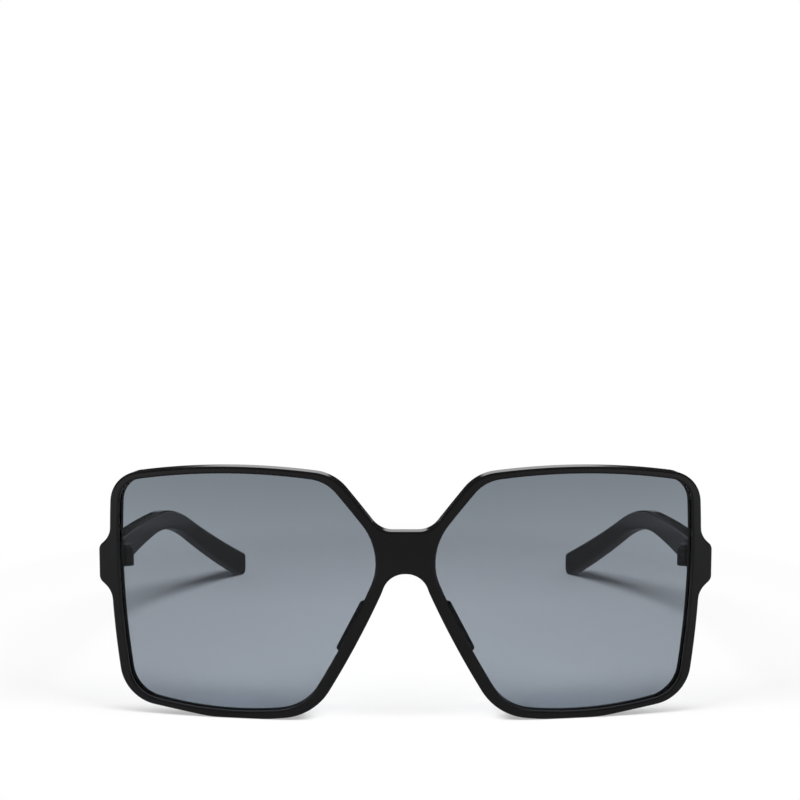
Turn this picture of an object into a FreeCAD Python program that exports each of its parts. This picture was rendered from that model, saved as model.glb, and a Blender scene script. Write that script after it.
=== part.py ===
import FreeCAD, Part
import math
import os

# Oversized sunglasses in black acetate with grey lenses, open and standing on a flat surface.
# X runs across the front, with the wearer's left side at +X.  Y runs from the front back to the
# temple tips, and Z runs up from the surface.  Lengths are in millimetres and angles in degrees.

V = FreeCAD.Vector

# Lens openings, seen from the front.  The five corners run round from the nose: nose corner, inner
# top, outer top, outer bottom, inner bottom.  The sides bow outwards and the corners are rounded.
opening_width = 61.8
opening_height = 57.6
bridge_width = 14.4
opening_corner_shares = [(-0.037, 0.675), (0.187, 0.976), (0.990, 0.950), (0.951, 0.058), (0.277, 0.022)]
opening_bow_shares = [0.008, 0.044, 0.031, 0.054, 0.024]
opening_radius_shares = [0.26, 0.16, 0.105, 0.14, 0.21]

# Width of the rim's front face along the same five sides
rim_upper_nose = 2.4
rim_top = 1.5
rim_outer = 2.1
rim_bottom = 1.85
rim_lower_nose = 2.9

# Flat stretch under each rim, on which the front stands
rest_flat_length = 14.0
rest_flat_place_share = 0.53
rest_flat_blend_radius = 30.0
rest_flat_depth = 0.05

# Front, cut from flat sheet and then bent round the face
front_thickness = 4.0
front_wrap_radius = 260.0
front_edge_radius = 0.5
bridge_drop = 4.73
bridge_height = 10.2
bridge_top_radius = 6.0
nose_arch_radius = 5.45
hollow_fit_share = 0.97

# Lugs at the two ends of the front, where the temples butt
lug_place_share = 0.6025
lug_reach = 2.86
lug_tip_height = 8.2
lug_root_height = 13.4
lug_tip_radius = 2.1
lug_root_radius = 5.0
lug_fit_share = 0.9
lug_depth = 4.6

# Lenses, in a groove half way through the front
lens_thickness = 2.0
lens_groove_depth = 0.8
lens_clearance = 0.05

# Nose pads, bonded to the back of the rims
pad_length = 15.5
pad_width = 2.4
pad_corner_radius = 1.0
pad_reach = 5.0
pad_splay = 1.0
pad_tip_share = 0.62
pad_place_share = 0.53
pad_edge_radius = 0.45
pad_glue_line = 0.02

# Temples.  The centre line slopes down a little, then bends down to the tip.
temple_length = 148.7
temple_thickness = 3.4
temple_inset = 1.1
temple_root_height = 8.6
temple_bend_height = 4.2
temple_tip_height = 6.7
temple_slope = 3.2
temple_bend = 20.7
temple_bend_radius = 110.0
temple_tip_radius = 1.8
temple_lead = 6.0
temple_curve_radius = 488.0
temple_edge_radius = 0.7
temple_butt_gap = 0.05
tip_flat_depth = 0.15

# Core wire inside each temple
wire_height = 1.6
wire_thickness = 1.2
wire_tip_radius = 0.4
wire_root_gap = 0.1
wire_tip_setback = 9.0

# Hinges: three knuckles on a screw, with leaves sunk into the acetate
knuckle_radius = 1.5
knuckle_height = 1.4
knuckle_gap = 0.05
knuckle_standoff = 0.15
leaf_thickness = 0.9
leaf_sink = 0.4
leaf_clearance = 0.1
front_leaf_length = 4.0
temple_leaf_length = 9.0
tang_depth = 1.3
tang_height = 2.4
front_tang_length = 1.8
temple_tang_length = 4.0
tang_setback = 1.2
screw_radius = 0.7
screw_running_clearance = 0.03
screw_thread_clearance = 0.02
screw_head_radius = 1.2
screw_head_height = 0.9
screw_slot_width = 0.35
screw_slot_depth = 0.4

# Every cut runs past its piece by this much.
overrun = 1.0

# Places worked out from the sizes above
opening_inner = bridge_width / 2
opening_low = rim_bottom
opening_corners = [(opening_inner + opening_width * u, opening_low + opening_height * v)
                   for u, v in opening_corner_shares]
opening_radii = [opening_height * share for share in opening_radius_shares]
rim_widths = [rim_upper_nose, rim_top, rim_outer, rim_bottom, rim_lower_nose]
rim_side = opening_inner + opening_width + rim_outer
half_width = rim_side + lug_reach
front_height = opening_low + opening_height + rim_top
bridge_rise = opening_corners[0][1] - bridge_drop
bridge_top = bridge_rise + bridge_height
lug_rise = opening_low + opening_height * lug_place_share
lug_flare = (lug_root_height - lug_tip_height) / 2
lug_flank = math.hypot(lug_reach, lug_flare)
lug_tangents = (lug_tip_radius + lug_root_radius) * math.tan(math.atan2(lug_reach, lug_flare) / 2)
lug_fit = min(1, lug_fit_share * lug_flank / lug_tangents)
rim_back_radius = front_wrap_radius - front_thickness
temple_outer = half_width - temple_inset
temple_inner = temple_outer - temple_thickness
rim_back = front_wrap_radius - math.sqrt(rim_back_radius ** 2 - temple_inner ** 2)
joint_plane = rim_back + lug_depth
axis_x = temple_inner - knuckle_standoff - knuckle_radius
hinge_height = 3 * knuckle_height + 2 * knuckle_gap
hinge_low = lug_rise - hinge_height / 2
leaf_face = temple_inner + leaf_sink


def normal_left(start, end):
    """Unit vector to the left of the way from start to end, which is outwards on these outlines."""
    way = (end[0] - start[0], end[1] - start[1])
    length = math.hypot(*way)
    return -way[1] / length, way[0] / length


def widened(corners, widths):
    """Move each side of an outline outwards by its width and return where the sides then meet."""
    moved = []
    for i, corner in enumerate(corners):
        n1 = normal_left(corners[i - 1], corner)
        n2 = normal_left(corner, corners[(i + 1) % len(corners)])
        w1, w2 = widths[i - 1], widths[i]
        cross = n1[0] * n2[1] - n1[1] * n2[0]
        moved.append((corner[0] + (w1 * n2[1] - w2 * n1[1]) / cross,
                      corner[1] + (w2 * n1[0] - w1 * n2[0]) / cross))
    return moved


def tangent_ends(corner, before, after, radius):
    """Where a round of one radius leaves the two straight sides of a corner, and its middle point."""
    n1, n2 = normal_left(before, corner), normal_left(corner, after)
    bisector = (n1[0] + n2[0], n1[1] + n2[1])
    centre_share = 1 / (1 + n1[0] * n2[0] + n1[1] * n2[1])
    turns_right = n1[0] * n2[1] - n1[1] * n2[0] < 0
    reach = -radius if turns_right else radius
    centre = [c + reach * centre_share * b for c, b in zip(corner, bisector)]
    half = math.hypot(*bisector)
    return [tuple(c - reach * n for c, n in zip(centre, normal))
            for normal in (n1, [b / half for b in bisector], n2)]


def flat_place(x, z):
    """A point of the front view, on the plane that touches the front's foremost line."""
    return V(x, 0, z)


def rounded_edge(solid, middle, radius):
    """Round the edge whose middle is nearest to a point."""
    edge = min(solid.Edges, key=lambda e: (e.CenterOfMass - middle).Length)
    return solid.makeFillet(radius, [edge])


def outline_side(start, end, bow_share, place):
    """One side of an outline: straight, or an arc that stands out by a share of its length."""
    if bow_share == 0:
        return Part.makeLine(place(*start), place(*end))
    out = normal_left(start, end)
    bow = bow_share * math.dist(start, end)
    middle = [(a + b) / 2 + o * bow for a, b, o in zip(start, end, out)]
    return Part.Arc(place(*start), place(*middle), place(*end)).toShape()


def slab(corners, bow_shares, radii, place, way):
    """Carry an outline along a straight way, with its corners rounded.

    A corner of two straight sides is drawn round; one with a bowed side is rounded afterwards.
    """
    count = len(corners)
    straight = [bow_shares[i - 1] == 0 and bow_shares[i] == 0 for i in range(count)]
    rounds = [tangent_ends(corner, corners[i - 1], corners[(i + 1) % count], radii[i])
              if straight[i] and radii[i] > 0 else None for i, corner in enumerate(corners)]
    sides = []
    for i, corner in enumerate(corners):
        following = (i + 1) % count
        if rounds[i]:
            sides.append(Part.Arc(*[place(*point) for point in rounds[i]]).toShape())
        start = rounds[i][-1] if rounds[i] else corner
        end = rounds[following][0] if rounds[following] else corners[following]
        sides.append(outline_side(start, end, bow_shares[i], place))
    solid = Part.Face(Part.Wire(sides)).extrude(way)
    for corner, radius, drawn in zip(corners, radii, rounds):
        if radius > 0 and not drawn:
            solid = rounded_edge(solid, place(*corner) + way / 2, radius)
    return solid


def box_between(low, high):
    size = high - low
    return Part.makeBox(size.x, size.y, size.z, low)


def other_side(shape):
    return shape.mirror(V(0, 0, 0), V(1, 0, 0))


def trimmed_level(solid):
    """Cut off what reaches below the surface, so that the piece stands on a true flat."""
    bounds = solid.BoundBox
    low = V(bounds.XMin - overrun, bounds.YMin - overrun, bounds.ZMin - overrun)
    return solid.cut(box_between(low, V(bounds.XMax + overrun, bounds.YMax + overrun, 0))).Solids[0]


# The front's walls stand square to its curved faces, so they all point at the wrap's upright axis.
SHEET_WAY = V(0, overrun, 0)
FRONT_PLANE = -overrun
BACK_PLANE = joint_plane


def aimed(point, depth):
    """Carry a point of the front view, along its line to the wrap's axis, to a plane at one depth."""
    slant = math.tan(math.asin(point.x / front_wrap_radius))
    return V((front_wrap_radius - depth) * slant, depth, point.z)


def aimed_edge(edge, depth):
    """Draw an edge of the front view again on a plane at one depth."""
    first, last = edge.FirstParameter, edge.LastParameter
    start, middle, end = [aimed(edge.valueAt(value), depth) for value in (first, (first + last) / 2, last)]
    if edge.Curve.TypeId == "Part::GeomLine":
        return Part.makeLine(start, end)
    return Part.Arc(start, middle, end).toShape()


def face_outline(solid, depth):
    """The outline of a slab's face that lies on the plane at one depth."""
    face = min(solid.Faces, key=lambda f: abs(f.BoundBox.YMin - depth) + abs(f.BoundBox.YMax - depth))
    return face.OuterWire


def aimed_block(view):
    """Draw a front view on planes ahead of the front and behind it, and join them by straight lines."""
    edges = face_outline(view, 0).OrderedEdges
    wires = [Part.Wire([aimed_edge(edge, depth) for edge in edges]) for depth in (FRONT_PLANE, BACK_PLANE)]
    return Part.makeLoft(wires, True, True)


def upright_disc(radius):
    """The round block about the wrap's axis that bounds one of the front's curved faces."""
    base = V(0, front_wrap_radius, -overrun)
    return Part.makeCylinder(radius, front_height + 2 * overrun, base)


def layer(solid, depth, thickness):
    """The part of a block that lies in one layer of the curved front."""
    outer = upright_disc(front_wrap_radius - depth)
    inner = upright_disc(front_wrap_radius - depth - thickness)
    return solid.common(outer.cut(inner))


# The bows and corners of a plain four-sided outline
STRAIGHT = [0, 0, 0, 0]
SHARP = [0, 0, 0, 0]


def opening_block(extra):
    """The left opening, made wider by an extra width all round."""
    corners = widened(opening_corners, [extra] * len(opening_corners))
    radii = [radius + extra for radius in opening_radii]
    return aimed_block(slab(corners, opening_bow_shares, radii, flat_place, SHEET_WAY))


def rim_corners():
    """The corners of the left rim, and the radii that keep its rounds beside those of the opening."""
    radii = [radius + (rim_widths[i - 1] + rim_widths[i]) / 2 for i, radius in enumerate(opening_radii)]
    return widened(opening_corners, rim_widths), radii


def rim_slab():
    """The left rim: the opening widened on every side, and flat where it stands on the surface."""
    corners, radii = rim_corners()
    flat_middle = opening_inner + opening_width * rest_flat_place_share
    half_flat = rest_flat_length / 2
    flat_ends = [(flat_middle + half_flat, -rest_flat_depth), (flat_middle - half_flat, -rest_flat_depth)]
    flat_radii = [rest_flat_blend_radius] * len(flat_ends)
    inner_bottom, inner_radius = corners.pop(), radii.pop()
    bow_shares = opening_bow_shares[:len(corners) - 1] + [0] * (len(flat_ends) + 1) + opening_bow_shares[-1:]
    return slab(corners + flat_ends + [inner_bottom], bow_shares,
                radii + flat_radii + [inner_radius], flat_place, SHEET_WAY)


def bridge_slab():
    corners = [(-opening_inner, bridge_top), (opening_inner, bridge_top),
               (opening_inner, bridge_rise), (-opening_inner, bridge_rise)]
    return slab(corners, STRAIGHT, SHARP, flat_place, SHEET_WAY)


def lug_slab():
    """The lug: a stub that narrows towards its rounded tip.

    Its rounds and the hollows at its root are no larger than fit along its flanks together.
    """
    root = rim_side - rim_outer / 2
    root_half = lug_root_height / 2 + lug_flare / lug_reach * rim_outer / 2
    corners = [(root, lug_rise + root_half), (half_width, lug_rise + lug_tip_height / 2),
               (half_width, lug_rise - lug_tip_height / 2), (root, lug_rise - root_half)]
    tip_round = lug_tip_radius * lug_fit
    return slab(corners, STRAIGHT, [0, tip_round, tip_round, 0], flat_place, SHEET_WAY)


def bridge_hollows(rim):
    """The heights and radii of the hollows over and under the bridge.

    A hollow is no larger than fits: it touches the rim's nose round before the round's end, and the
    bridge's edge before its middle.
    """
    corner = flat_place(*rim_corners()[0][0]) + SHEET_WAY / 2
    nose = min(rim.Faces, key=lambda f: (f.CenterOfMass - corner).Length)
    edge = min(nose.Edges, key=lambda e: e.BoundBox.YMax)
    first, last = edge.FirstParameter, edge.LastParameter
    circle = Part.Circle(*[edge.valueAt(value) for value in (first, (first + last) / 2, last)])
    radius, centre = circle.Radius, circle.Center
    top = (bridge_top, bridge_top_radius, bridge_top - centre.z, nose.BoundBox.ZMax - centre.z)
    arch = (bridge_rise, nose_arch_radius, centre.z - bridge_rise, centre.z - nose.BoundBox.ZMin)
    hollows = []
    for height, wanted, offset, round_end in (top, arch):
        contact_share = hollow_fit_share * round_end / radius
        beside_round = (contact_share * radius - offset) / (1 - contact_share)
        beside_middle = (centre.x ** 2 + offset ** 2 - radius ** 2) / 2 / (radius - offset)
        hollows.append((height, min(wanted, beside_round, hollow_fit_share * beside_middle)))
    return hollows


def front_view():
    """The whole front view: two rims, the bridge bar and the lugs, with the hollows rounded."""
    rim, bridge, lug = rim_slab(), bridge_slab(), lug_slab()
    solid = rim.fuse([other_side(rim), bridge, lug, other_side(lug)]).removeSplitter().Solids[0]
    for side in (1, -1):
        for height, radius in bridge_hollows(rim):
            through = [e for e in solid.Edges if e.BoundBox.YLength > SHEET_WAY.y / 2]
            through = [e for e in through if side * e.CenterOfMass.x > 0]
            hollow = min(through, key=lambda e: abs(e.CenterOfMass.z - height))
            solid = solid.makeFillet(radius, [hollow])
        for half in (lug_root_height / 2, -lug_root_height / 2):
            root = flat_place(side * rim_side, lug_rise + half) + SHEET_WAY / 2
            solid = rounded_edge(solid, root, lug_root_radius * lug_fit)
    return solid


def on_disc(edge, radius):
    """Whether an edge lies all along on an upright disc's round face."""
    first, last = edge.FirstParameter, edge.LastParameter
    points = [edge.valueAt(value) for value in (first, (first + last) / 2, last)]
    return all(abs(math.hypot(p.x, p.y - front_wrap_radius) - radius) < lens_clearance for p in points)


def front_blank():
    """The bent front with its lens openings and rounded edges, before grooves and lug blocks."""
    blank = layer(aimed_block(front_view()), 0, front_thickness)
    opening = opening_block(0)
    blank = blank.cut([opening, other_side(opening)]).Solids[0]
    edges = [e for e in blank.Edges if on_disc(e, front_wrap_radius) or on_disc(e, rim_back_radius)]
    return trimmed_level(blank.makeFillet(front_edge_radius, edges))


def lens_seat(depth, clearance):
    """What fills the groove: a wrapped plate, wider than the opening by the depth of its edge."""
    thickness = lens_thickness + 2 * clearance
    return layer(opening_block(depth), (front_thickness - thickness) / 2, thickness).Solids[0]


def lug_butt():
    """The block behind the left lug that the temple's end meets."""
    low = V(temple_inner, rim_back - front_thickness / 2, lug_rise - temple_root_height / 2)
    high = V(temple_outer, joint_plane, lug_rise + temple_root_height / 2)
    solid = box_between(low, high)
    for z in (low.z, high.z):
        solid = rounded_edge(solid, V(high.x, (low.y + high.y) / 2, z), temple_edge_radius)
    return solid


def nose_pad():
    """A pad that narrows and leans towards the nose behind the left rim's lower nose side."""
    middles = widened(opening_corners, [width / 2 for width in rim_widths])
    low, high = middles[-1], middles[0]
    out = normal_left(low, high)
    along = (out[1], -out[0])
    x = low[0] + (high[0] - low[0]) * pad_place_share
    z = low[1] + (high[1] - low[1]) * pad_place_share
    back = front_wrap_radius - math.sqrt(rim_back_radius ** 2 - x ** 2)
    wires = []
    for depth, share in ((back - front_thickness / 2, 1), (back + pad_reach, pad_tip_share)):
        lean = pad_splay * (depth - back) / pad_reach

        def place(a, c):
            return V(x + along[0] * a + out[0] * (c + lean), depth, z + along[1] * a + out[1] * (c + lean))

        a, c = pad_length / 2 * share, pad_width / 2 * share
        ends = [(-a, -c), (-a, c), (a, c), (a, -c)]
        sheet = slab(ends, STRAIGHT, [pad_corner_radius * share] * len(ends), place, SHEET_WAY)
        wires.append(face_outline(sheet, depth))
    solid = Part.makeLoft(wires, True, True)
    tip_edges = [e for e in solid.Edges if e.BoundBox.YMin > back + pad_reach / 2]
    solid = solid.makeFillet(pad_edge_radius, tip_edges)
    return solid.common(upright_disc(rim_back_radius - pad_glue_line)).Solids[0]


# Side view of a temple.  Its centre line drops at one slope to the bend and at another to the tip,
# and the bend is placed so that the tip stands on the same surface as the rims.
tip_slope = math.radians(temple_slope + temple_bend)
root_slope = math.radians(temple_slope)
temple_start = joint_plane + temple_butt_gap
tip_cut_height = temple_tip_height / math.cos(tip_slope)
tip_corner_rise = temple_tip_radius * ((1 + math.sin(tip_slope)) / math.cos(tip_slope) - 1)
tip_rise = tip_cut_height / 2 - tip_corner_rise - tip_flat_depth
drop = lug_rise - tip_rise
length_to_bend = ((temple_length * math.sin(tip_slope) - drop)
                  / (math.sin(tip_slope) - math.sin(root_slope)))


def centre_point(distance):
    """A point (y, z) of the temple's centre line in the side view."""
    first = min(distance, length_to_bend)
    rest = distance - first
    return (temple_start + first * math.cos(root_slope) + rest * math.cos(tip_slope),
            lug_rise - first * math.sin(root_slope) - rest * math.sin(tip_slope))


def side_slab(start, end, heights, tip_radius):
    """A bar along the centre line between two distances, with its height at start, bend and tip.

    Both ends are cut upright.
    """
    def off_centre(distance, slope, height):
        y, z = centre_point(distance)
        return y + height / 2 * math.sin(slope), z + height / 2 * math.cos(slope)

    bend_slope = (root_slope + tip_slope) / 2
    stations = [(start, 0, heights[0]), (length_to_bend, bend_slope, heights[1]),
                (end, 0, heights[2] / math.cos(tip_slope))]
    top = [off_centre(distance, slope, height) for distance, slope, height in stations]
    bottom = [off_centre(distance, slope, -height) for distance, slope, height in reversed(stations)]
    half_bend = heights[1] / 2
    radii = [0, temple_bend_radius + half_bend, tip_radius, tip_radius, temple_bend_radius - half_bend, 0]
    reach = V(2 * half_width, 0, 0)
    return slab(top + bottom, [0] * len(radii), radii, lambda y, z: V(-half_width, y, z), reach)


def plan_band(inset, thickness, start):
    """The temple's plan: straight behind the hinge, then an even curve in towards the head."""
    lead = temple_start + temple_lead
    centre = V(temple_inner - temple_curve_radius, lead, -overrun)
    tip = centre_point(temple_length)[0] + temple_tip_height + overrun
    sweep = math.asin((tip - lead) / temple_curve_radius)

    def curve_point(radius, angle):
        return centre + V(radius * math.cos(angle), radius * math.sin(angle), 0)

    inner, outer = temple_curve_radius + inset, temple_curve_radius + inset + thickness
    arcs = [Part.Arc(*[curve_point(radius, angle) for angle in (0, sweep / 2, sweep)]).toShape()
            for radius in (inner, outer)]
    ends = [V(temple_inner + inset + width, start, -overrun) for width in (0, thickness)]
    lines = [Part.makeLine(ends[0], curve_point(inner, 0)), Part.makeLine(curve_point(outer, 0), ends[1]),
             Part.makeLine(curve_point(inner, sweep), curve_point(outer, sweep)), Part.makeLine(*ends)]
    wire = Part.Wire(Part.__sortEdges__(arcs + lines))
    return Part.Face(wire).extrude(V(0, 0, front_height + 2 * overrun))


def temple_blank():
    """The left temple before the hinge leaf and the core wire go in."""
    heights = (temple_root_height, temple_bend_height, temple_tip_height)
    solid = side_slab(0, temple_length, heights, temple_tip_radius)
    solid = solid.common(plan_band(0, temple_thickness, temple_start)).Solids[0]
    lengthwise = [e for e in solid.Edges if e.BoundBox.YLength > temple_edge_radius]
    solid = solid.makeFillet(temple_edge_radius, lengthwise)
    return trimmed_level(solid)


def core_wire():
    """The wire that stiffens the left temple, from the hinge leaf's tang to near the tip."""
    start = leaf_clearance + tang_setback + temple_tang_length + wire_root_gap
    heights = (wire_height, wire_height, wire_height)
    solid = side_slab(start, temple_length - wire_tip_setback, heights, wire_tip_radius)
    inset = (temple_thickness - wire_thickness) / 2
    return solid.common(plan_band(inset, wire_thickness, temple_start)).Solids[0]


# Hinges.  Seen from above, the leaves lie along the inner faces of lug and temple, and the knuckles
# stand on the joint plane, clear of those faces.  The front leaf has the top and bottom knuckles.
def upright_rod(radius, low, high):
    return Part.makeCylinder(radius, high - low, V(axis_x, joint_plane, low))


def knuckle_span(index):
    low = hinge_low + index * (knuckle_height + knuckle_gap)
    return low, low + knuckle_height


def hinge_leaf(toward, length, tang_length, own, others):
    """A leaf on one side of the joint plane: plate, tang, its own knuckles and room for the others."""
    def span(x_low, x_high, y_near, y_far, z_low, z_high):
        ys = sorted((joint_plane + toward * y_near, joint_plane + toward * y_far))
        return box_between(V(x_low, ys[0], z_low), V(x_high, ys[1], z_high))

    hinge_top = hinge_low + hinge_height
    tang_low = lug_rise - tang_height / 2
    plate = span(leaf_face - leaf_thickness, leaf_face, leaf_clearance, length, hinge_low, hinge_top)
    tang_near = leaf_clearance + tang_setback
    tang = span(leaf_face, leaf_face + tang_depth, tang_near, tang_near + tang_length,
                tang_low, tang_low + tang_height)
    solid = plate.fuse(tang)
    for index in others:
        low, high = knuckle_span(index)
        room = upright_rod(knuckle_radius + leaf_clearance, low - knuckle_gap, high + knuckle_gap)
        solid = solid.cut(room)
    for index in own:
        low, high = knuckle_span(index)
        neck = span(axis_x, leaf_face, leaf_clearance, knuckle_radius, low, high)
        solid = solid.fuse([upright_rod(knuckle_radius, low, high), neck])
    return solid.removeSplitter()


def front_hinge_leaf():
    solid = hinge_leaf(-1, front_leaf_length, front_tang_length, (0, 2), (1,))
    threaded, plain = knuckle_span(0), knuckle_span(2)
    solid = solid.cut(upright_rod(screw_radius + screw_thread_clearance, *threaded))
    return solid.cut(upright_rod(screw_radius + screw_running_clearance, *plain)).Solids[0]


def temple_hinge_leaf():
    solid = hinge_leaf(1, temple_leaf_length, temple_tang_length, (1,), (0, 2))
    return solid.cut(upright_rod(screw_radius + screw_running_clearance, *knuckle_span(1))).Solids[0]


def hinge_screw():
    """A slotted screw, put in from the top, that ends level with the lowest knuckle."""
    head_low = hinge_low + hinge_height
    head_top = head_low + screw_head_height
    shank = upright_rod(screw_radius, hinge_low, head_low)
    head = upright_rod(screw_head_radius, head_low, head_top)
    half_slot = V(screw_head_radius, screw_slot_width / 2, 0)
    slot_middle = V(axis_x, joint_plane, head_top)
    slot = box_between(slot_middle - half_slot - V(0, 0, screw_slot_depth), slot_middle + half_slot)
    return shank.fuse(head).cut(slot).removeSplitter().Solids[0]


# The left side's pieces, and the front that carries both sides
lens = lens_seat(lens_groove_depth - lens_clearance, 0)
groove = lens_seat(lens_groove_depth, lens_clearance)
pad = nose_pad()
front_leaf, temple_leaf, screw, wire = front_hinge_leaf(), temple_hinge_leaf(), hinge_screw(), core_wire()
temple = temple_blank().cut([temple_leaf, wire]).Solids[0]
butt = lug_butt()
front = front_blank().fuse([butt, other_side(butt)])
front = front.cut([groove, other_side(groove), front_leaf, other_side(front_leaf)]).Solids[0]

one_sided = {"lens": lens, "nose_pad": pad, "front_hinge_leaf": front_leaf, "hinge_screw": screw,
             "temple_hinge_leaf": temple_leaf, "temple": temple, "core_wire": wire}
pieces = {"front_frame": front}
for name, shape in one_sided.items():
    pieces["left_" + name] = shape
    pieces["right_" + name] = other_side(shape)

# The origin is on the surface, under the middle of the whole pair.
whole = Part.makeCompound(list(pieces.values())).optimalBoundingBox()
to_origin = V(0, -(whole.YMin + whole.YMax) / 2, 0)
os.makedirs("parts", exist_ok=True)
for name, shape in pieces.items():
    moved = shape.translated(to_origin)
    moved.exportStep("parts/" + name + ".step")
    print(name, moved.ShapeType, moved.isValid(), round(moved.Volume, 3))
print("size", whole.XLength, whole.YLength, whole.ZLength, "lowest", whole.ZMin)
print("left hinge axis", axis_x, joint_plane + to_origin.y, lug_rise, "front at", to_origin.y)
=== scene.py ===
import math

import bmesh
import bpy
import numpy as np
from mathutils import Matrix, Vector


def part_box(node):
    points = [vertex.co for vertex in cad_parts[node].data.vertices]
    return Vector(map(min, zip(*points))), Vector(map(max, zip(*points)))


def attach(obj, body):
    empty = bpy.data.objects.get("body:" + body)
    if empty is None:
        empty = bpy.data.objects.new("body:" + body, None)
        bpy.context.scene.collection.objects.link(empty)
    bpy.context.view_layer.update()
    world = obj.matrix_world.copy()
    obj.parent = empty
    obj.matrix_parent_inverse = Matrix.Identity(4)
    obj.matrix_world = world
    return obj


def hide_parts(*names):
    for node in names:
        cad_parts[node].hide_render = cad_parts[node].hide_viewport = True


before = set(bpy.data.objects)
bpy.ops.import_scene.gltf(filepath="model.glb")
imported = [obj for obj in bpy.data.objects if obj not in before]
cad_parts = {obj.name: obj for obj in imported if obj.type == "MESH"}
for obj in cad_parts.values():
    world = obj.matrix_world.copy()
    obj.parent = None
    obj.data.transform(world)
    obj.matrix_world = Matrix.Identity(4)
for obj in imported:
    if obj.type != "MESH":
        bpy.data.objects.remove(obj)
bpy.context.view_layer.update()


# The front is one sheet of black acetate: two wide five-sided rims, the bridge and the end lugs.
# It is cut out flat, grooved for the lenses, tumbled until its edges are round and it shines, and
# then bent round the face.  A short block behind each lug meets the temple.  Sizes are in millimetres.
opening_inner, opening_low = 7.2, 1.85
opening_size = np.array([61.8, 57.6])
corner_shares = np.array([(-0.037, 0.675), (0.187, 0.976), (0.990, 0.950), (0.951, 0.058), (0.277, 0.022)])
opening_bows = np.array([0.008, 0.044, 0.031, 0.054, 0.024])
opening_rounds = opening_size[1] * np.array([0.26, 0.16, 0.105, 0.14, 0.21])
opening_corners = np.array([opening_inner, opening_low]) + opening_size * corner_shares
rim_widths = np.array([2.4, 1.5, 2.1, 1.85, 2.9])
rest_flat_length, rest_flat_share, rest_flat_blend = 14.0, 0.53, 30.0
front_thickness, front_wrap, front_edge = 4.0, 260.0, 0.5
bridge_drop, bridge_height, bridge_top_hollow, nose_arch = 4.73, 10.2, 6.0, 5.45
lug_reach, lug_tip_height, lug_root_height, lug_tip_round, lug_root_hollow = 2.86, 8.2, 13.4, 2.1, 5.0
lug_share = 0.6025
lens_thickness, lens_groove, lens_clearance = 2.0, 0.8, 0.05
temple_thickness, temple_inset, temple_root_height, temple_edge, butt_gap = 3.4, 1.1, 8.6, 0.7, 0.05

front_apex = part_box("front_frame")[0].y * 1000
bridge_rise = opening_corners[0, 1] - bridge_drop
bridge_top = bridge_rise + bridge_height
lug_rise = opening_low + opening_size[1] * lug_share
rim_side = opening_inner + opening_size[0] + rim_widths[2]
half_width = rim_side + lug_reach
temple_outer = half_width - temple_inset
temple_inner = temple_outer - temple_thickness
temple_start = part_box("left_temple")[0].y * 1000
joint_plane = temple_start - butt_gap

STRAIGHT = 1e-4


def widened(corners, widths):
    """Corners of an outline whose sides move outwards, each by its width, to where they meet again.

    The outline runs clockwise, so a side's outward normal is its way turned a quarter to the left.
    """
    way = np.roll(corners, -1, axis=0) - corners
    after = np.stack([-way[:, 1], way[:, 0]], axis=1) / np.hypot(way[:, 0], way[:, 1])[:, None]
    before, width_before = np.roll(after, 1, axis=0), np.roll(widths, 1)
    cross = before[:, 0] * after[:, 1] - before[:, 1] * after[:, 0]
    shift_x = (width_before * after[:, 1] - widths * before[:, 1]) / cross
    shift_z = (widths * before[:, 0] - width_before * after[:, 0]) / cross
    return corners + np.stack([shift_x, shift_z], axis=1)


def side_circle(start, end, bow=STRAIGHT):
    """Middle and radius of the circle through a side's two ends that stands out from it by bow times
    its length: half the chord squared over twice the sag, plus half the sag."""
    start, end = np.asarray(start, float), np.asarray(end, float)
    way = end - start
    length = np.hypot(*way)
    radius = length / 8 / bow + bow * length / 2
    out = np.array([-way[1], way[0]]) / length
    return np.append((start + end) / 2 + out * (bow * length - radius), radius)


def side_circles(corners, bows=(STRAIGHT,) * 4):
    """The circles of all sides of a closed outline."""
    return [side_circle(*ends, bow) for *ends, bow in zip(corners, np.roll(corners, -1, axis=0), bows)]


def joined(first, second, rounding, near):
    """A round that touches two circles: its middle and its two points of contact.

    The middle lies where both circles meet once they are drawn in by its radius; a hollow has a
    negative radius, which draws them out.  Of the two such places, the one near a point is taken.
    """
    reach, other_reach = first[2] - rounding, second[2] - rounding
    way = second[:2] - first[:2]
    apart = np.hypot(*way)
    along = (apart ** 2 + reach ** 2 - other_reach ** 2) / 2 / apart
    across = math.sqrt(max(reach ** 2 - along ** 2, 0)) * np.array([-way[1], way[0]]) / apart
    places = [first[:2] + way * along / apart + turn * across for turn in (1, -1)]
    middle = min(places, key=lambda place: np.hypot(*(place - near)))
    leave = first[:2] + (middle - first[:2]) * first[2] / reach
    arrive = second[:2] + (middle - second[:2]) * second[2] / other_reach
    return middle, leave, arrive


def arc(middle, start, end, out=1, spacing=0.6, turn=math.radians(7)):
    """Points along the shorter arc from start to just before end, with the normals that point out."""
    from_middle = [np.arctan2(*(point - middle)[::-1]) for point in (start, end)]
    sweep = (from_middle[1] - from_middle[0] + math.pi) % (2 * math.pi) - math.pi
    radius = np.hypot(*(start - middle))
    steps = math.ceil(max(abs(sweep) * radius / spacing, abs(sweep) / turn, 1))
    angles = from_middle[0] + sweep * np.arange(steps) / steps
    radial = np.stack([np.cos(angles), np.sin(angles)], axis=1)
    return middle + radius * radial, out * radial


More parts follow.
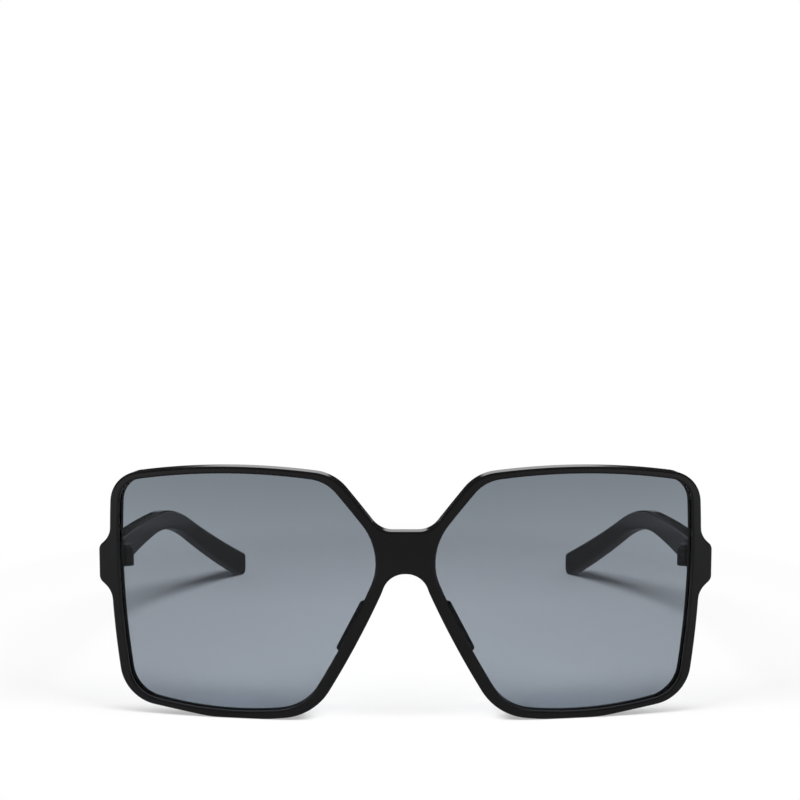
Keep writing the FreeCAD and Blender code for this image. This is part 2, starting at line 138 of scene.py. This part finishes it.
def outline(circles, rounds, corners, start=None, end=None):
    """Points and outward normals along a row of sides, each part of a circle, and the rounds between.

    Without a start and an end the row is closed, and its first round lies before its first side.
    """
    closed = start is None
    pairs = [(circles[i - 1], circles[i]) for i in range(0 if closed else 1, len(circles))]
    joints = [joined(*pair, *place) for pair, place in zip(pairs, zip(rounds, corners))]
    begins = [joint[2] for joint in joints]
    leaves = [joint[1] for joint in joints]
    begins, leaves = (begins, leaves[1:] + leaves[:1]) if closed else ([start] + begins, leaves + [end])
    arcs = [arc(circle[:2], begin, leave) for circle, begin, leave in zip(circles, begins, leaves)]
    turns = [arc(*joint, out=np.sign(rounding)) if rounding else None
             for joint, rounding in zip(joints, rounds)]
    row = [piece for pair in zip(turns if closed else [None] + turns, arcs) for piece in pair if piece]
    if not closed:
        row.append((np.array([end]), row[-1][1][-1:]))
    return np.concatenate([points for points, _ in row]), np.concatenate([normals for _, normals in row])


def opening_outline(extra):
    """The left lens opening, wider all round by an extra width."""
    corners = widened(opening_corners, np.full(len(opening_corners), extra))
    return outline(side_circles(corners, opening_bows), opening_rounds + extra, corners)


def front_outline():
    """The outside of the left half of the front, from the top of the bridge round to its underside."""
    rim = widened(opening_corners, rim_widths)
    rounds = opening_rounds + (rim_widths + np.roll(rim_widths, 1)) / 2
    upper_nose, top, outer, _, lower_nose = side_circles(rim, opening_bows)
    nose = np.append(joined(lower_nose, upper_nose, rounds[0], rim[0])[0], rounds[0])
    flat_middle = opening_inner + opening_size[0] * rest_flat_share
    flat_ends = np.array([(flat_middle + rest_flat_length / 2, 0), (flat_middle - rest_flat_length / 2, 0)])
    flare = (lug_root_height - lug_tip_height) / 2 / lug_reach
    root_half = lug_root_height / 2 + flare * rim_widths[2] / 2
    root_x = rim_side - rim_widths[2] / 2
    tip_half = lug_tip_height / 2
    lug = np.array([(root_x, root_half), (half_width, tip_half),
                    (half_width, -tip_half), (root_x, -root_half)]) + (0, lug_rise)
    hollow_half = lug_root_height / 2
    middle_top, middle_low = np.array([0, bridge_top]), np.array([0, bridge_rise])
    inner = np.array([opening_inner, 0])
    sides = [side_circle(middle_top, middle_top + inner), nose, upper_nose, top, outer,
             side_circle(lug[0], lug[1]), side_circle(lug[1], lug[2]), side_circle(lug[2], lug[3]), outer,
             side_circle(rim[3], flat_ends[0]), side_circle(*flat_ends), side_circle(flat_ends[1], rim[4]),
             lower_nose, nose, side_circle(middle_low + inner, middle_low)]
    rounded = [-bridge_top_hollow, 0, rounds[1], rounds[2], -lug_root_hollow, lug_tip_round, lug_tip_round,
               -lug_root_hollow, rounds[3], rest_flat_blend, rest_flat_blend, rounds[4], 0, -nose_arch]
    corners = [middle_top + inner, rim[0] + (rim[1] - rim[0]) / 2, rim[1], rim[2],
               np.array([rim_side, lug_rise + hollow_half]), lug[1], lug[2],
               np.array([rim_side, lug_rise - hollow_half]), rim[3], *flat_ends, rim[4],
               rim[0] + (rim[4] - rim[0]) / 4, middle_low + inner]
    return outline(sides, rounded, corners, middle_top, middle_low)


def edged_plate(inner, outer, thickness, inner_edge, outer_edge, groove=None):
    """A plate between two outlines, its four edges rounded, as plan points and depths on a grid.

    Rows go along the outlines.  Columns go round the section: front face, outer wall, back face and
    inner wall.  A quarter round of radius r starts r inside its outline, and after an angle q lies
    r(1 - sin q) inside it and r(1 - cos q) deep.  A groove is cut square into the inner wall.
    """
    def columns(share, a_in=0, b_in=0, base=0, a_deep=0, b_deep=0, sunk=0):
        return np.stack(np.broadcast_arrays(share, a_in, b_in, base, a_deep, b_deep, sunk))

    q = np.linspace(0, math.pi / 2, 7)[1:]
    quarter_in, quarter_deep = 1 - np.sin(q), 1 - np.cos(q)
    across = np.array([0, 0.02, 0.1, 0.25, 0.5, 0.75, 0.9, 0.98, 1])
    wall = np.array([0.04, 0.5, 0.96])
    inner_wall = columns(0, base=wall[::-1] * thickness, a_deep=1 - 2 * wall[::-1])
    if groove:
        groove_depth, groove_start, groove_end = groove
        inner_wall = columns(0, base=np.array([groove_end, groove_end, groove_start, groove_start]),
                             sunk=groove_depth * np.array([0, 1, 1, 0]))
    section = np.concatenate([
        columns(across, 1 - across, across),
        columns(1, b_in=quarter_in, b_deep=quarter_deep),
        columns(1, base=wall * thickness, b_deep=1 - 2 * wall),
        columns(1, b_in=quarter_in[::-1], base=thickness, b_deep=-quarter_deep[::-1]),
        columns(across[::-1], 1 - across[::-1], across[::-1], thickness),
        columns(0, quarter_in, base=thickness, a_deep=-quarter_deep),
        inner_wall,
        columns(0, quarter_in[::-1], a_deep=quarter_deep[::-1])], axis=1)
    share, a_in, b_in, base, a_deep, b_deep, sunk = section
    (a, a_out), (b, b_out) = inner, outer
    a_edge, b_edge = [np.broadcast_to(edge, len(b))[:, None] for edge in (inner_edge, outer_edge)]
    plan = (a[:, None] * (1 - share[:, None]) + b[:, None] * share[:, None]
            - a_out[:, None] * (a_edge * a_in + sunk)[..., None]
            - b_out[:, None] * (b_edge * b_in)[..., None])
    return plan, base + a_edge * a_deep + b_edge * b_deep


def wrapped(plan, depth):
    """Bend a front view round the face: a point at x lies at the angle whose sine is x over the wrap's
    radius, on the circle that is smaller by the depth."""
    x, z = plan[..., 0], plan[..., 1]
    radius = front_wrap - depth
    y = front_apex + front_wrap - radius * np.sqrt(1 - (x / front_wrap) ** 2)
    return np.stack([radius * x / front_wrap, y, z], axis=-1)


def back_of_front(x, gap=0):
    """How far back the rear of the bent front lies at x, or a surface that is a gap behind it."""
    return front_apex + front_wrap - np.sqrt((front_wrap - front_thickness - gap) ** 2 - x ** 2)


def grid(points, closed_rows=False, closed_columns=True, caps=()):
    """Vertices and faces of a grid of points; each capped row is closed by one flat face."""
    rows, columns = points.shape[:2]
    index = np.arange(rows * columns).reshape(rows, columns)
    if closed_columns:
        index = np.concatenate([index, index[:, :1]], axis=1)
    if closed_rows:
        index = np.concatenate([index, index[:1]], axis=0)
    faces = np.stack([index[:-1, :-1], index[1:, :-1], index[1:, 1:], index[:-1, 1:]], axis=-1)
    capping = [index[row, :columns].tolist() for row in caps]
    return points.reshape(-1, 3), faces.reshape(-1, 4).tolist() + capping


def mirrored(surface):
    """The same surface on the wearer's other side."""
    points, faces = surface
    return points * (-1, 1, 1), [face[::-1] for face in faces]


JOINED_WITHIN, MIRROR_WITHIN, SHARP_FROM = 2e-7, 1e-9, math.radians(38)


def made_piece(name, surfaces, finish, slot, body, *nodes):
    """Put closed surfaces, in millimetres, into one smooth mesh that stands for its CAD nodes.

    Points that coincide are joined, and faces that lie on the mirror plane go with them.
    """
    starts = np.cumsum([0] + [len(points) for points, _ in surfaces])
    points = np.concatenate([points for points, _ in surfaces]) / 1000
    faces = [[corner + start for corner in face]
             for start, (_, part) in zip(starts, surfaces) for face in part]
    mesh = bpy.data.meshes.new(name)
    mesh.from_pydata(points.tolist(), [], faces)
    shell = bmesh.new()
    shell.from_mesh(mesh)
    bmesh.ops.remove_doubles(shell, verts=shell.verts, dist=JOINED_WITHIN)
    on_mirror = [f for f in shell.faces if all(abs(v.co.x) < MIRROR_WITHIN for v in f.verts)]
    bmesh.ops.delete(shell, geom=on_mirror, context="FACES")
    bmesh.ops.recalc_face_normals(shell, faces=shell.faces)
    shell.to_mesh(mesh)
    shell.free()
    mesh.shade_smooth()
    mesh.set_sharp_from_angle(angle=SHARP_FROM)
    mesh.materials.append(finish)
    piece = bpy.data.objects.new(name, mesh)
    bpy.context.scene.collection.objects.link(piece)
    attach(piece, body)
    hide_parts(*nodes)


class Socket:
    """A node's output in a material.  Sums and products of it with numbers or others add Math nodes."""

    def __init__(self, tree, output=None):
        self.tree = tree
        self.output = output

    def node(self, kind, settings=(), inputs=(), output=0):
        """Add a node of a kind, with its settings and its sockets' values or links."""
        made = self.tree.nodes.new("ShaderNode" + kind)
        for name, value in dict(settings).items():
            setattr(made, name, value)
        for name, value in dict(inputs).items():
            if isinstance(value, Socket):
                self.tree.links.new(value.output, made.inputs[name])
            else:
                made.inputs[name].default_value = value
        return Socket(self.tree, made.outputs[output] if made.outputs else None)

    def math(self, operation, first, second):
        """Add a Math node on two values, each a Socket or a number."""
        return self.node("Math", {"operation": operation}, {0: first, 1: second})

    def __add__(self, other):
        return self.math("ADD", self, other)

    def __sub__(self, other):
        return self.math("SUBTRACT", self, other)

    def __rsub__(self, other):
        return self.math("SUBTRACT", other, self)

    def __mul__(self, other):
        return self.math("MULTIPLY", self, other)

    __radd__ = __add__
    __rmul__ = __mul__


def new_finish(name):
    """An empty material, its tree as a Socket to build on, and its Object coordinates."""
    finish = bpy.data.materials.new(name)
    finish.use_nodes = True
    finish.node_tree.nodes.clear()
    tree = Socket(finish.node_tree)
    return finish, tree, tree.node("TexCoord", output="Object")


def polished_acetate(name, grain_way, start):
    """Black acetate: a faint cloud of pigment, buffing lines along one way, and a slow ripple.

    The cloud shifts the colour between two blacks.  The cloud and the lines make the gloss uneven, and
    the lines and the ripple tilt the surface a little.
    """
    finish, tree, place = new_finish(name)
    moved = tree.node("Mapping", (), {"Vector": place, "Location": start})
    along = tree.node("Mapping", (), {"Vector": moved, "Scale": grain_way})
    cloud = tree.node("TexNoise", (), {"Vector": moved, "Scale": 90, "Detail": 4, "Roughness": 0.6})
    lines = tree.node("TexNoise", (), {"Vector": along, "Scale": 900, "Detail": 3, "Roughness": 0.7})
    ripple = tree.node("TexNoise", (), {"Vector": moved, "Scale": 70, "Detail": 1, "Roughness": 0.4})
    colour = tree.node("Mix", {"data_type": "RGBA"}, {
        "Factor": cloud, "A": (0.0028, 0.0028, 0.0032, 1), "B": (0.0062, 0.0061, 0.0064, 1)}, 2)
    brushed = tree.node("Bump", (), {"Height": lines, "Strength": 0.035, "Distance": 0.0001})
    normal = tree.node("Bump", (), {
        "Height": ripple, "Normal": brushed, "Strength": 0.05, "Distance": 0.001})
    shader = tree.node("BsdfPrincipled", (), {
        "Base Color": colour, "Roughness": 0.05 + 0.07 * cloud + 0.03 * lines, "Normal": normal,
        "IOR": 1.49, "Specular IOR Level": 0.22})
    tree.node("OutputMaterial", (), {"Surface": shader})
    return finish


outer_edge, outer_out = front_outline()
outer_edge[[0, -1], 0] = 0
outer_out[[0, -1]] = [(0, 1), (0, -1)]
mirror_rows = 22
mirror_heights = np.linspace(bridge_rise + front_edge, bridge_top - front_edge, mirror_rows + 2)[1:-1]
mirror_edge = np.stack([0 * mirror_heights, mirror_heights], axis=1)
edge_rounds = np.repeat([front_edge, 0], [len(outer_edge), len(mirror_edge)])
outer_edge = np.concatenate([outer_edge, mirror_edge])
outer_out = np.concatenate([outer_out, np.tile([-1.0, 0.0], (len(mirror_edge), 1))])

# Each point of the outside is matched with the opening's point on the same line from the lens middle.
lens_middle = np.array([opening_inner + opening_size[0] / 2, bridge_rise])
opening_edge, opening_out = opening_outline(0)
opening_turn, outer_turn = [np.arctan2(*(edge - lens_middle).T[::-1])
                            for edge in (opening_edge, outer_edge)]
inner_edge, inner_out = [
    np.stack([np.interp(outer_turn, opening_turn, column, period=2 * math.pi) for column in both.T], axis=1)
    for both in (opening_edge, -opening_out)]
inner_out /= np.hypot(*inner_out.T)[:, None]

groove_half = lens_thickness / 2 + lens_clearance
lens_groove_cut = (lens_groove, front_thickness / 2 - groove_half, front_thickness / 2 + groove_half)
half_front = grid(wrapped(*edged_plate((inner_edge, inner_out), (outer_edge, outer_out), front_thickness,
                                       front_edge, edge_rounds, lens_groove_cut)), closed_rows=True)

# The block behind the lug: a bar with its outer edges rounded, its end eased where the temple meets it.
rim_back = back_of_front(temple_inner)
butt_half, eased = temple_root_height / 2, 0.1
butt_corners = np.array([(temple_inner, lug_rise + butt_half), (temple_outer, lug_rise + butt_half),
                         (temple_outer, lug_rise - butt_half), (temple_inner, lug_rise - butt_half)])
butt_rounds = [eased, temple_edge, temple_edge, eased]
butt_edge, butt_out = outline(side_circles(butt_corners), butt_rounds, butt_corners)
butt_y = np.array([rim_back - front_thickness / 2,
                   joint_plane - eased, joint_plane - eased / 3, joint_plane])
butt_plan = butt_edge - butt_out * (eased * np.array([0, 0, 1 / 3, 1]))[:, None, None]
butt_rows = np.broadcast_to(butt_y[:, None], butt_plan.shape[:2])
butt = grid(np.stack([butt_plan[..., 0], butt_rows, butt_plan[..., 1]], axis=-1), caps=(0, -1))

front_acetate = polished_acetate("front_acetate", (0.15, 1, 1), (0, 0, 0))
made_piece("front", [half_front, mirrored(half_front), butt, mirrored(butt)],
           front_acetate, "front_acetate", "front", "front_frame")


# Each lens is a plate of grey plastic, bent like the front and pressed into the groove from behind.  Its
# colour is darkened towards the top with painted shade, for the dimmer backdrop seen through it.  Its
# edge is hidden in the groove.
lens_edge = opening_outline(lens_groove - lens_clearance)[0]
lens_steps = np.concatenate([[0], np.linspace(0.06, 0.94, 20), [0.97, 1]])
lens_share = np.concatenate([lens_steps, lens_steps[::-1]])
lens_depth = front_thickness / 2 + lens_thickness / 2 * np.repeat([-1, 1], len(lens_steps))
lens_plan = lens_middle + (lens_edge - lens_middle)[:, None] * lens_share[:, None]
lens = grid(wrapped(lens_plan, lens_depth), closed_rows=True, closed_columns=False)


def ranged(value, start, end, low=0, high=1, course="SMOOTHSTEP"):
    """A level that goes from low to high, or down, while a value goes from start to end."""
    return value.node("MapRange", {"interpolation_type": course}, {
        "Value": value, "From Min": start, "From Max": end, "To Min": low, "To Max": high})


def dyed_lens_with_painted_shade(name, low, high):
    """Clear grey plastic with a faint cloud in its tint.  Painted shade darkens the tint evenly from one
    height to another, for the dimmer backdrop seen through the upper lens.  A thin film of dust makes
    the gloss uneven.  Light that casts a shadow crosses two faces, and each lets about four tenths of
    it through."""
    finish, tree, place = new_finish(name)
    height = tree.node("SeparateXYZ", (), {"Vector": place}, 2)
    # Painted shade: the tint darkens between the two heights, for the dimmer backdrop seen through the upper
    # lens.
    painted_shade_rise = ranged(height, low, high, course="LINEAR")
    cloud = tree.node("TexNoise", (), {"Vector": place, "Scale": 40, "Detail": 3})
    dust = tree.node("TexNoise", (), {"Vector": place, "Scale": 700, "Detail": 4, "Roughness": 0.7})
    tint_with_painted_shade = tree.node("Mix", {"data_type": "RGBA"}, {
        "Factor": painted_shade_rise + 0.08 * cloud - 0.04,
        "A": (0.292, 0.326, 0.368, 1), "B": (0.175, 0.201, 0.229, 1)}, 2)
    shader = tree.node("BsdfPrincipled", (), {
        "Base Color": tint_with_painted_shade, "Roughness": 0.012 + 0.02 * dust, "Transmission Weight": 1, "IOR": 1.25})
    through = tree.node("BsdfTransparent", (), {"Color": (0.38, 0.405, 0.44, 1)})
    shadow = tree.node("LightPath", output="Is Shadow Ray")
    surface = tree.node("MixShader", (), {0: shadow, 1: shader, 2: through})
    tree.node("OutputMaterial", (), {"Surface": surface})
    return finish


# The heights over which painted shade darkens the lenses towards their tops.
painted_shade_low, painted_shade_high = 0.028, 0.062
grey_lens = dyed_lens_with_painted_shade("lens_tint_painted_shade", painted_shade_low, painted_shade_high)
made_piece("left_lens_plate", [lens], grey_lens, "lens", "front", "left_lens")
made_piece("right_lens_plate", [mirrored(lens)], grey_lens, "lens", "front", "right_lens")


# The nose pads are blocks of the same acetate, bonded to the back of the rims' lower nose sides.  They
# narrow and lean towards the nose, and are buffed round with the front.
pad_length, pad_width, pad_round, pad_reach, pad_splay = 15.5, 2.4, 1.0, 5.0, 1.0
pad_tip_share, pad_place_share, pad_edge, pad_glue = 0.62, 0.53, 0.45, 0.02
pad_low, pad_high = widened(opening_corners, rim_widths / 2)[[4, 0]]
pad_along = (pad_high - pad_low) / np.hypot(*(pad_high - pad_low))
pad_out = np.array([-pad_along[1], pad_along[0]])
pad_middle = pad_low + (pad_high - pad_low) * pad_place_share
pad_back = back_of_front(pad_middle[0])
half_length, half_pad = pad_length / 2, pad_width / 2
pad_corners = np.array([(-half_length, half_pad), (half_length, half_pad),
                        (half_length, -half_pad), (-half_length, -half_pad)])
pad_edge_line, pad_edge_out = outline(side_circles(pad_corners), [pad_round] * 4, pad_corners)

# Rows run from the rim to the tip, round its edge and in to its middle.
side_rows, round_rows, top_fill = 8, 7, np.array([0.9, 0.5, 0])
pad_turn = np.linspace(0, math.pi / 2, round_rows + 1)[1:]
pad_rise = np.concatenate([np.linspace(0, pad_reach - pad_edge, side_rows),
                           pad_reach - pad_edge * (1 - np.sin(pad_turn)),
                           np.full(len(top_fill), pad_reach)])
pad_inset = np.concatenate([np.zeros(side_rows),
                            pad_edge * (1 - np.cos(pad_turn)),
                            np.full(len(top_fill), pad_edge)])
pad_fill = np.concatenate([np.ones(side_rows + round_rows), top_fill])
from_inside = front_thickness / 2
pad_share = 1 - (1 - pad_tip_share) * (pad_rise + from_inside) / (pad_reach + from_inside)
pad_section = pad_fill[:, None, None] * (
    pad_share[:, None, None] * pad_edge_line - pad_inset[:, None, None] * pad_edge_out)
pad_lean = (pad_splay * pad_rise / pad_reach)[:, None, None]
pad_plan = pad_middle + pad_section[..., :1] * pad_along + (pad_section[..., 1:] + pad_lean) * pad_out
pad_foot = back_of_front(pad_plan[0, :, 0], pad_glue) - pad_back
pad_y = pad_back + pad_rise[:, None] + pad_foot * (1 - pad_rise[:, None] / pad_reach)
nose_pad = grid(np.stack([pad_plan[..., 0], pad_y, pad_plan[..., 1]], axis=-1), caps=(0,))

pad_acetate = polished_acetate("pad_acetate", (1, 1, 0.15), (0.03, 0.01, 0.02))
made_piece("left_nose_block", [nose_pad], pad_acetate, "front_acetate", "front", "left_nose_pad")
made_piece("right_nose_block", [mirrored(nose_pad)],
           pad_acetate, "front_acetate", "front", "right_nose_pad")


# The temples are black acetate bars with rounded edges.  Each slopes back from the hinge, narrows to the
# bend over the ear, widens to a blunt tip that stands on the table, and curves in towards the head.
temple_length, temple_bend_height, temple_tip_height = 148.7, 4.2, 6.7
temple_slope, temple_bend = math.radians(3.2), math.radians(20.7)
temple_bend_radius, temple_tip_round = 110.0, 1.8
temple_lead, temple_curve, tip_flat_depth = 6.0, 488.0, 0.15
tip_slope = temple_slope + temple_bend
tip_cut_height = temple_tip_height / math.cos(tip_slope)
tip_corner_rise = temple_tip_round * ((1 + math.sin(tip_slope)) / math.cos(tip_slope) - 1)
tip_rise = tip_cut_height / 2 - tip_corner_rise - tip_flat_depth
to_bend = ((temple_length * math.sin(tip_slope) - lug_rise + tip_rise)
           / (math.sin(tip_slope) - math.sin(temple_slope)))
root_point = np.array([temple_start, lug_rise])
bend_point = root_point + to_bend * np.array([math.cos(temple_slope), -math.sin(temple_slope)])
tip_point = bend_point + (temple_length - to_bend) * np.array([math.cos(tip_slope), -math.sin(tip_slope)])
bend_across = temple_slope + temple_bend / 2
across_root, across_bend, across_tip = [
    height / 2 * np.array([math.sin(angle), math.cos(angle)]) for height, angle in
    ((temple_root_height, 0), (temple_bend_height, bend_across), (tip_cut_height, 0))]
temple_top = [root_point + across_root, bend_point + across_bend, tip_point + across_tip]
temple_low = [tip_point - across_tip, bend_point - across_bend, root_point - across_root]
temple_corners = temple_top + temple_low
half_bend = temple_bend_height / 2
temple_edge_line, temple_edge_out = outline(
    [side_circle(*ends) for ends in zip(temple_corners, temple_corners[1:])],
    [temple_bend_radius + half_bend, temple_tip_round, temple_tip_round, half_bend - temple_bend_radius],
    temple_corners[1:-1], temple_corners[0], temple_corners[-1])

# The side view is cut in two at the middle of the tip's end, and both edges are read at equal shares of
# their lengths, closer together towards the tip.
line_length = np.append(0, np.cumsum(np.hypot(*np.diff(temple_edge_line, axis=0).T)))
tip_at = np.argmin(np.hypot(*(temple_edge_line - tip_point).T))
temple_rows = 220
temple_share = np.sin(np.linspace(0, math.pi / 2, temple_rows))
top_edge, low_edge = [
    [np.stack([np.interp(start + (line_length[tip_at] - start) * temple_share, line_length, column)
               for column in both.T], axis=1) for both in (temple_edge_line, temple_edge_out)]
    for start in (0, line_length[-1])]
temple_plan, temple_depth = edged_plate(low_edge, top_edge, temple_thickness, temple_edge, temple_edge)


def bowed_in(plan, depth):
    """Carry a side view out to the temple's place: straight at first, and behind its lead on circles
    about one upright axis, wider by the depth.  What would sink into the table is flat on it."""
    y, z = plan[..., 0], plan[..., 1]
    behind = np.maximum(y - temple_start - temple_lead, 0)
    x = temple_inner - temple_curve + np.sqrt((temple_curve + depth) ** 2 - behind ** 2)
    return np.stack([x, y, np.maximum(z, 0)], axis=-1)


temple = grid(bowed_in(temple_plan, temple_depth), caps=(0,))
temple_acetate = polished_acetate("temple_acetate", (1, 0.1, 1), (0.05, 0.02, 0.07))
made_piece("left_arm", [temple], temple_acetate, "temple_acetate", "left_temple", "left_temple")
made_piece("right_arm", [mirrored(temple)],
           temple_acetate, "temple_acetate", "right_temple", "right_temple")


# The hinges are stamped from dark plated metal: two leaves with interleaved knuckles, heat-sunk into the
# acetate, held by a slotted steel screw from above.  A steel core wire stiffens each temple from inside.
def brushed_metal(name, dark, bright, roughness, grain_way):
    """Metal brushed one way: stretched noise shifts it between two tones, its gloss and its surface."""
    finish, tree, place = new_finish(name)
    stretched = tree.node("Mapping", (), {"Vector": place, "Scale": grain_way})
    grain = tree.node("TexNoise", (), {"Vector": stretched, "Scale": 2600, "Detail": 3, "Roughness": 0.6})
    patch = tree.node("TexNoise", (), {"Vector": place, "Scale": 500, "Detail": 2})
    colour = tree.node("Mix", {"data_type": "RGBA"}, {
        "Factor": 0.6 * grain + 0.4 * patch, "A": dark, "B": bright}, 2)
    normal = tree.node("Bump", (), {"Height": grain, "Strength": 0.2, "Distance": 0.00005})
    shader = tree.node("BsdfPrincipled", (), {
        "Base Color": colour, "Metallic": 1, "Roughness": roughness + 0.18 * grain, "Normal": normal})
    tree.node("OutputMaterial", (), {"Surface": shader})
    return finish


def refinished(finish, *nodes):
    """Give CAD pieces that keep their shape a new finish."""
    for node in nodes:
        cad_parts[node].data.materials.clear()
        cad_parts[node].data.materials.append(finish)


hinge_metal = brushed_metal(
    "hinge_metal", (0.030, 0.030, 0.034, 1), (0.075, 0.075, 0.080, 1), roughness=0.26, grain_way=(1, 1, 0.1))
screw_steel = brushed_metal(
    "screw_steel", (0.09, 0.09, 0.095, 1), (0.18, 0.18, 0.18, 1), roughness=0.2, grain_way=(0.1, 1, 1))
wire_steel = brushed_metal(
    "core_wire_steel", (0.30, 0.30, 0.30, 1), (0.52, 0.52, 0.51, 1), roughness=0.24, grain_way=(1, 0.05, 1))
for wearer_side in ("left_", "right_"):
    refinished(hinge_metal, wearer_side + "front_hinge_leaf", wearer_side + "temple_hinge_leaf")
    refinished(screw_steel, wearer_side + "hinge_screw")
    refinished(wire_steel, wearer_side + "core_wire")


# The table is matt white and laid in two halves, each lit by the lamp on the other side.  Round the
# object it takes the soft shadows, deepest under the rims, and further off it turns into the plain white
# of the backdrop.  What is polished mirrors it brighter at the sides than in the middle.
def met_by(tree, *kinds):
    """For each kind of ray, whether the ray that meets the surface is of that kind."""
    return [tree.node("LightPath", output=f"Is {kind} Ray") for kind in kinds]


table_white, tree, place = new_finish("table_white")
camera_ray, glossy_ray, through_ray = met_by(tree, "Camera", "Glossy", "Transmission")
both_sides = tree.node("VectorMath", {"operation": "ABSOLUTE"}, {0: place})
across = tree.node("SeparateXYZ", (), {"Vector": both_sides}, 0)
along = tree.node("SeparateXYZ", (), {"Vector": place}, 1)

# Distances from the middle of the object, and from where a rim stands, are measured in ovals.
middle_shift, middle_scale = (0, -0.16, 0), (7.5, 8.0, 1)
rim_across, rim_along, rim_scale_across, rim_scale_along = 0.039, -0.0752, 33, 100
from_middle = tree.node("Mapping", (), {"Vector": place, "Location": middle_shift, "Scale": middle_scale})
from_rim = tree.node("CombineXYZ", (), {
    0: (across - rim_across) * rim_scale_across, 1: (along - rim_along) * rim_scale_along})
off_middle, off_rim = [tree.node("VectorMath", {"operation": "LENGTH"}, {0: way}, "Value")
                       for way in (from_middle, from_rim)]
whiter = ranged(off_middle, 0.75, 1.15)
clearer = ranged(off_rim, 0.4, 1.6, low=0.4, high=0.88)
shown_plain = camera_ray * across.math("MAXIMUM", whiter, clearer) + through_ray * whiter
sideways = ranged(across, 0.04, 0.25, low=0.38, high=0.95, course="LINEAR")
fading = ranged(along, -0.05, 0.05, low=1, high=0.55, course="LINEAR")
beyond = ranged(along, 0.138, 0.150, low=0, high=0.6, course="LINEAR")
matt = tree.node("BsdfDiffuse", (), {"Color": (0.92, 0.92, 0.92, 1)})
plain = tree.node("Emission", (), {"Color": (1, 1, 1, 1), "Strength": 1})
mirrored_white = tree.node("Emission", (), {"Color": sideways * (fading + beyond), "Strength": 1})
lit = tree.node("MixShader", (), {0: shown_plain, 1: matt, 2: plain})
surface = tree.node("MixShader", (), {0: glossy_ray * (1 - through_ray), 1: lit, 2: mirrored_white})
tree.node("OutputMaterial", (), {"Surface": surface})

table_reach, table_halves = 3.0, []
for table_side in (1, -1):
    table_end = table_side * table_reach
    table_corners = [(0, -table_reach, 0), (table_end, -table_reach, 0),
                     (table_end, table_reach, 0), (0, table_reach, 0)]
    table_mesh = bpy.data.meshes.new("table")
    table_mesh.from_pydata(table_corners, [], [(0, 1, 2, 3)[::table_side]])
    table_mesh.materials.append(table_white)
    table = bpy.data.objects.new("table", table_mesh)
    bpy.context.scene.collection.objects.link(table)
    table_halves.append(table)


# The studio has two soft boxes in front, one on each side, which light the object and the far half of the
# table, so that the shadows of both temples run outwards.  The backdrop is white.  What is polished
# mirrors one narrow upright panel behind, and an unlit room everywhere else.
room = bpy.data.worlds.new("studio")
bpy.context.scene.world = room
room.use_nodes = True
room.node_tree.nodes.clear()
tree = Socket(room.node_tree)
way = tree.node("TexCoord", output="Generated")
side, back, up = [tree.node("SeparateXYZ", (), {"Vector": way}, axis) for axis in range(3)]
panel_width = ranged(side.math("ABSOLUTE", side, 0), 0.10, 0.15, low=1, high=0)
panel_height = ranged(up, 0.115, 0.16)
panel_back = ranged(back, 0.7, 0.9)
panel_light, room_light, soft_light = 1.1, 0.02, (0.24, 0.24, 0.24, 1)
camera_ray, glossy_ray, through_ray = met_by(tree, "Camera", "Glossy", "Transmission")
white = tree.node("Background", (), {"Color": (1, 1, 1, 1), "Strength": 1})
soft = tree.node("Background", (), {"Color": soft_light, "Strength": 1})
panel = tree.node("Background", (), {
    "Color": room_light + panel_light * panel_width * panel_height * panel_back, "Strength": 1})
unseen = tree.node("MixShader", (), {0: glossy_ray * (1 - through_ray), 1: soft, 2: panel})
shown = camera_ray.math("MAXIMUM", camera_ray, through_ray)
surface = tree.node("MixShader", (), {0: shown, 1: unseen, 2: white})
tree.node("OutputWorld", (), {"Surface": surface})

box_size, box_power, box_place, box_target = 0.42, 11.6, (0.50, -0.36, 0.75), (-0.06, 0.05, 0)
for lamp_side, own_half in zip((1, -1), table_halves):
    lamp = bpy.data.lights.new("soft_box", "AREA")
    lamp.shape = "SQUARE"
    lamp.size = box_size
    lamp.energy = box_power
    soft_box = bpy.data.objects.new("soft_box", lamp)
    soft_box.location = (lamp_side * box_place[0], *box_place[1:])
    aim = Vector((lamp_side * box_target[0], *box_target[1:])) - soft_box.location
    soft_box.rotation_euler = aim.to_track_quat("-Z", "Y").to_euler()
    soft_box.visible_glossy = False
    bpy.context.scene.collection.objects.link(soft_box)
    lit_by_other = bpy.data.collections.new("lit_by_other")
    lit_by_other.objects.link(own_half)
    lit_by_other.collection_objects[0].light_linking.link_state = "EXCLUDE"
    soft_box.light_linking.receiver_collection = lit_by_other


# The camera stands a little over half a metre in front, above the rims, and looks slightly down.  The
# object's middle lies a few pixels to the right of the picture's.
photo_width, photo_focus, photo_middle = 800, 2094, 405.5
camera_place, camera_tilt = (0, -0.564, 0.1465), 8.1
view = bpy.data.cameras.new("view")
view.sensor_width = 36
view.lens = photo_focus / photo_width * view.sensor_width
view.shift_x = 0.5 - photo_middle / photo_width
view.clip_start = 0.01
camera = bpy.data.objects.new("camera", view)
camera.location = camera_place
camera.rotation_euler = (math.radians(90 - camera_tilt), 0, 0)
bpy.context.scene.collection.objects.link(camera)
bpy.context.scene.camera = camera
bpy.context.scene.view_settings.view_transform = "Standard"
